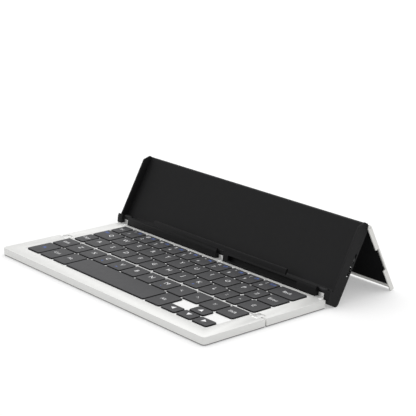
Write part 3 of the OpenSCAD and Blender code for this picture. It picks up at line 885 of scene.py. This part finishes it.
@dataclass
class Panels:
    """The two aluminium panels with their hinge fittings and fold links."""

    edge_mm: float = 0.3
    shortest_mm: float = 0.35
    top_band_mm: float = 0.05
    fitting_edge_mm: float = 0.15
    fitting_shortest_mm: float = 0.3
    ring_shortest_mm: float = 0.1

    def build(self) -> None:
        """Soften the frames, the hinge fittings and the links."""
        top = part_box("front_frame")[1][2]

        def outer(edge: bmesh.types.BMEdge) -> bool:
            """Say whether an edge lies on the rim of the top."""
            mid = (edge.verts[0].co + edge.verts[1].co) / 2
            long_enough = edge.calc_length() > self.shortest_mm * MM
            return long_enough and mid.z > top - self.top_band_mm * MM

        for node in ("front_frame", "middle_frame"):
            SoftenedPiece(node, self.edge_mm, 3, outer).build()
        for node in ("stand_hinge_arms", "fold_links"):
            SoftenedPiece(node, self.fitting_edge_mm, 2,
                          long_edge(self.fitting_shortest_mm)).build()
        SoftenedPiece("stand_hinge_knuckles", self.fitting_edge_mm, 2,
                      long_edge(self.ring_shortest_mm)).build()


@dataclass
class Tray:
    """The black tray: shell, back cover and lip."""

    edge_mm: float = 0.2
    shortest_mm: float = 5.0
    lip_shortest_mm: float = 0.5

    def build(self) -> None:
        """Soften the tray's moulded pieces."""
        for node in ("tray_shell", "tray_back_cover"):
            SoftenedPiece(node, self.edge_mm, 2, long_edge(self.shortest_mm)).build()
        SoftenedPiece("tablet_lip", self.edge_mm, 2, long_edge(self.lip_shortest_mm)).build()


@dataclass
class TrayFittings:
    """Small fittings of the tray: screws, the socket's tongue and the switch's ribs."""

    screw_radius_mm: float = 1.1
    screw_height_mm: float = 0.5
    recess_radius_mm: float = 0.52
    tongue_mm: tuple[float, float, float] = (3.0, 5.2, 0.5)
    tongue_back_mm: float = 2.1
    contact_count: int = 5
    contact_pitch_mm: float = 1.0
    contact_mm: tuple[float, float, float] = (2.4, 0.45, 0.56)
    rib_count: int = 3
    rib_pitch_mm: float = 0.6
    rib_mm: tuple[float, float, float] = (0.2, 0.28, 1.3)

    def screws(self) -> None:
        """Form a head with a drive recess over each screw of the back cover."""
        half = self.screw_height_mm * MM / 2
        spots = [(low + high) / 2 - OUT_OF_TRAY * half for low, high in islands("cover_screws")]
        mesh = screw_tree().bake({"Radius": self.screw_radius_mm * MM,
                                  "Height": self.screw_height_mm * MM,
                                  "Recess Radius": self.recess_radius_mm * MM,
                                  "Turn": LEAN + math.pi}, material(Slot.screw_steel), spots)
        smooth(mesh)
        obj = add_object("cover_screw_heads", mesh)
        dress_piece(obj, "tray", ["cover_screws"])

    def row(self, name: str, form: FormTree, middle: Vector, count: int, pitch_mm: float,
            size_mm: tuple[float, float, float], finish: Slot | TrimAndPaintedShade,
            body: str) -> None:
        """Set a row of bars at the tray's lean.

        Args:
            name: Name of the piece.
            form: Tree of the bars.
            middle: Middle of the row.
            count: Number of bars.
            pitch_mm: Distance from bar to bar.
            size_mm: Size of a bar along X, up the tray and through it.
            finish: Finish of the bars.
            body: Body that they ride on.
        """
        mesh = form.bake({"Count": count, "Pitch": pitch_mm * MM, "Long": size_mm[0] * MM,
                          "Wide": size_mm[1] * MM, "High": size_mm[2] * MM}, material(finish))
        mesh.transform(Matrix.Translation(middle) @ Matrix.Rotation(LEAN, 4, "X"))
        dress_piece(add_object(name, mesh), body, [])

    def build(self) -> None:
        """Build every fitting."""
        self.screws()
        form = bar_row_tree()
        low, high = islands("usb_socket")[0]
        middle = (low + high) / 2
        middle.x = high.x - self.tongue_back_mm * MM
        self.row("socket_tongue", form, middle, 1, 0.0, self.tongue_mm, Slot.switch_black,
                 "tray")
        self.row("socket_contacts", form, middle, self.contact_count, self.contact_pitch_mm,
                 self.contact_mm, TrimAndPaintedShade.contact_gold, "tray")
        low, high = islands("power_switch_knob")[0]
        middle = (low + high) / 2
        middle.x = high.x
        self.row("switch_ribs", form, middle, self.rib_count, self.rib_pitch_mm, self.rib_mm,
                 Slot.switch_black, "power_switch")


@dataclass
class Kickstand:
    """The folding aluminium stand."""

    edge_mm: float = 0.2
    shortest_mm: float = 0.6

    def build(self) -> None:
        """Soften the plate with its flanges."""
        SoftenedPiece("kickstand_plate", self.edge_mm, 2, long_edge(self.shortest_mm)).build()


# Stage

@dataclass(frozen=True)
class SoftLamp:
    """One square lamp: its place, side and power."""

    name: str
    spot_m: tuple[float, float, float]
    side_m: float
    power_w: float


@dataclass
class Studio:
    """Floor, lights and the camera of the photograph."""

    focal_px: float = 1312.9
    azimuth_deg: float = 49.97
    elevation_deg: float = 16.1
    roll_deg: float = -0.76
    eye_mm: tuple[float, float, float] = (744.5, -638.7, 337.4)
    centre_px: tuple[float, float] = (178.2, 205.1)
    world_strength: float = 0.64
    floor_near_m: float = 0.35
    floor_far_m: float = 1.2
    floor_lift_near: float = 0.36
    floor_lift_far: float = 0.66
    floor_tone: float = 0.62
    floor_half_m: float = 6.0
    floor_drop_m: float = 0.00002
    lamp_aim_m: tuple[float, float, float] = (0.0, 0.0, 0.02)
    lamps: tuple[SoftLamp, ...] = (SoftLamp("over", (-0.1, 0.25, 1.1), 2.0, 12.5),
                                   SoftLamp("front_left", (-0.9, -0.8, 0.8), 0.8, 0.9))

    def camera(self) -> None:
        """Place the camera where the photograph was taken from."""
        az, el = math.radians(self.azimuth_deg), math.radians(self.elevation_deg)
        roll = math.radians(self.roll_deg)
        ahead = -Vector((math.sin(az) * math.cos(el), -math.cos(az) * math.cos(el),
                         math.sin(el)))
        right = ahead.cross(Vector((0, 0, 1))).normalized()
        down = ahead.cross(right)
        right2 = right * math.cos(roll) + down * math.sin(roll)
        down2 = -right * math.sin(roll) + down * math.cos(roll)
        data = bpy.data.cameras.new("photo_camera")
        cam = bpy.data.objects.new("photo_camera", data)
        bpy.context.scene.collection.objects.link(cam)
        turn = Matrix((right2, -down2, -ahead)).transposed().to_4x4()
        cam.matrix_world = Matrix.Translation(Vector(self.eye_mm) * MM) @ turn
        data.sensor_width = SENSOR_MM
        data.lens = self.focal_px * SENSOR_MM / PHOTO_SIZE
        data.shift_x = (PHOTO_SIZE / 2 - self.centre_px[0]) / PHOTO_SIZE
        data.shift_y = (self.centre_px[1] - PHOTO_SIZE / 2) / PHOTO_SIZE
        data.clip_start, data.clip_end = 0.01, 50.0
        bpy.context.scene.camera = cam

    def floor(self) -> None:
        """Lay the pale floor, white to the camera but keeping the shadow."""
        work = bmesh.new()
        bmesh.ops.create_grid(work, x_segments=1, y_segments=1, size=self.floor_half_m)
        mesh = bpy.data.meshes.new("desk")
        work.to_mesh(mesh)
        work.free()
        mesh.transform(Matrix.Translation((0, 0, -self.floor_drop_m)))
        mat = bpy.data.materials.new("desk_white")
        mat.use_nodes = True
        tree = mat.node_tree
        shader = tree.nodes["Principled BSDF"]
        shader.inputs["Base Color"].default_value = (*[self.floor_tone] * 3, 1)
        shader.inputs["Roughness"].default_value = 0.7
        shader.inputs["Specular IOR Level"].default_value = 0.1
        path = tree.nodes.new("ShaderNodeLightPath")
        seen = math_node(tree, "MAXIMUM", path.outputs["Is Camera Ray"],
                         path.outputs["Is Glossy Ray"])
        glow = tree.nodes.new("ShaderNodeEmission")
        coords = tree.nodes.new("ShaderNodeTexCoord")
        reach = tree.nodes.new("ShaderNodeVectorMath")
        reach.operation = "LENGTH"
        tree.links.new(coords.outputs["Object"], reach.inputs[0])
        rise = tree.nodes.new("ShaderNodeMapRange")
        for key, value in (("From Min", self.floor_near_m), ("From Max", self.floor_far_m),
                           ("To Min", self.floor_lift_near), ("To Max", self.floor_lift_far)):
            rise.inputs[key].default_value = value
        tree.links.new(reach.outputs["Value"], rise.inputs["Value"])
        lift = math_node(tree, "MULTIPLY", seen, rise.outputs["Result"])
        tree.links.new(lift, glow.inputs["Strength"])
        add = tree.nodes.new("ShaderNodeAddShader")
        tree.links.new(shader.outputs[0], add.inputs[0])
        tree.links.new(glow.outputs[0], add.inputs[1])
        tree.links.new(add.outputs[0], tree.nodes["Material Output"].inputs["Surface"])
        mesh.materials.append(mat)
        add_object("desk", mesh)

    def world(self) -> None:
        """Light the scene from a plain white surround."""
        world = bpy.data.worlds.new("surround")
        world.use_nodes = True
        tree = world.node_tree
        back = tree.nodes["Background"]
        back.inputs["Color"].default_value = (1, 1, 1, 1)
        path = tree.nodes.new("ShaderNodeLightPath")
        gap = math_node(tree, "MULTIPLY", path.outputs["Is Camera Ray"],
                        1.0 - self.world_strength)
        total = math_node(tree, "ADD", gap, self.world_strength)
        tree.links.new(total, back.inputs["Strength"])
        bpy.context.scene.world = world

    def hang(self, lamp: SoftLamp) -> None:
        """Hang one soft square lamp that looks at the keyboard.

        Args:
            lamp: The lamp's place, side and power.
        """
        data = bpy.data.lights.new(lamp.name, "AREA")
        data.shape = "SQUARE"
        data.size = lamp.side_m
        data.energy = lamp.power_w
        obj = bpy.data.objects.new(lamp.name, data)
        bpy.context.scene.collection.objects.link(obj)
        spot = Vector(lamp.spot_m)
        aim = Vector(self.lamp_aim_m) - spot
        obj.matrix_world = Matrix.Translation(spot) @ aim.to_track_quat(
            "-Z", "Y").to_matrix().to_4x4()

    def build(self) -> None:
        """Set the whole stage."""
        self.camera()
        self.floor()
        self.world()
        for lamp in self.lamps:
            self.hang(lamp)
        bpy.context.scene.view_settings.view_transform = "Standard"


# All together

def dress_cad_nodes() -> None:
    """Give every CAD node its finish, shown or not."""
    for name, obj in frame["nodes"].items():
        finish = material(slot_of(name))
        if obj.material_slots:
            for slot in obj.material_slots:
                slot.material = finish
        else:
            obj.data.materials.append(finish)


def main() -> None:
    """Build the sub-assemblies in order."""
    logging.basicConfig(level=logging.INFO, format="%(name)s: %(message)s")
    Studio().build()
    dress_cad_nodes()
    Panels().build()
    Tray().build()
    TrayFittings().build()
    Kickstand().build()
    Keys().build()


if __name__ == "__main__":
    main()
